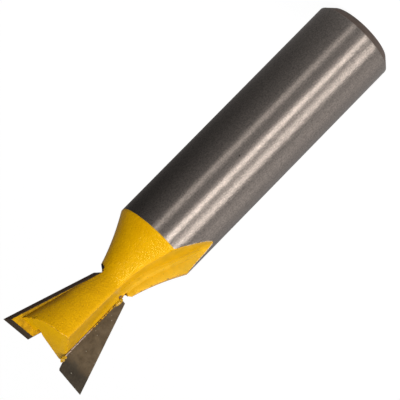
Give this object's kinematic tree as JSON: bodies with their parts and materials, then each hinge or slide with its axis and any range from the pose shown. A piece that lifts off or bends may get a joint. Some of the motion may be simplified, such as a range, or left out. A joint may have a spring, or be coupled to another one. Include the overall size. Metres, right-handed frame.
{
  "type": "dovetail router cutter",
  "caption": "Dovetail router bit: a ground round shank flares down to a slim lacquered neck and a widening fluted head with brazed carbide tips.",
  "frame": {"origin": "centre of the flat end of the shank, which the cutter stands on", "axes": "+Z along the axis from the shank end towards the tips; the flat rake faces of the tips lie in the plane y = 0, and the tip on the -X side faces -Y"},
  "size_m": [0.014, 0.012, 0.061],
  "materials": {
    "ground_steel": "satin, ground and tumbled, with fine grain",
    "yellow_lacquer": "glossy sprayed lacquer over steel, slightly orange-peeled, with fine dark specks",
    "tungsten_carbide": "dark brown-grey sintered carbide, diamond ground",
    "silver_braze": "dull silver solder, stained with flux and lacquer"
  },
  "bodies": {
    "root": {"cutter_body": "ground_steel", "carbide_tip_1": "tungsten_carbide", "carbide_tip_2": "tungsten_carbide", "braze_layer_1": "silver_braze", "braze_layer_2": "silver_braze"}
  },
  "joints": []
}
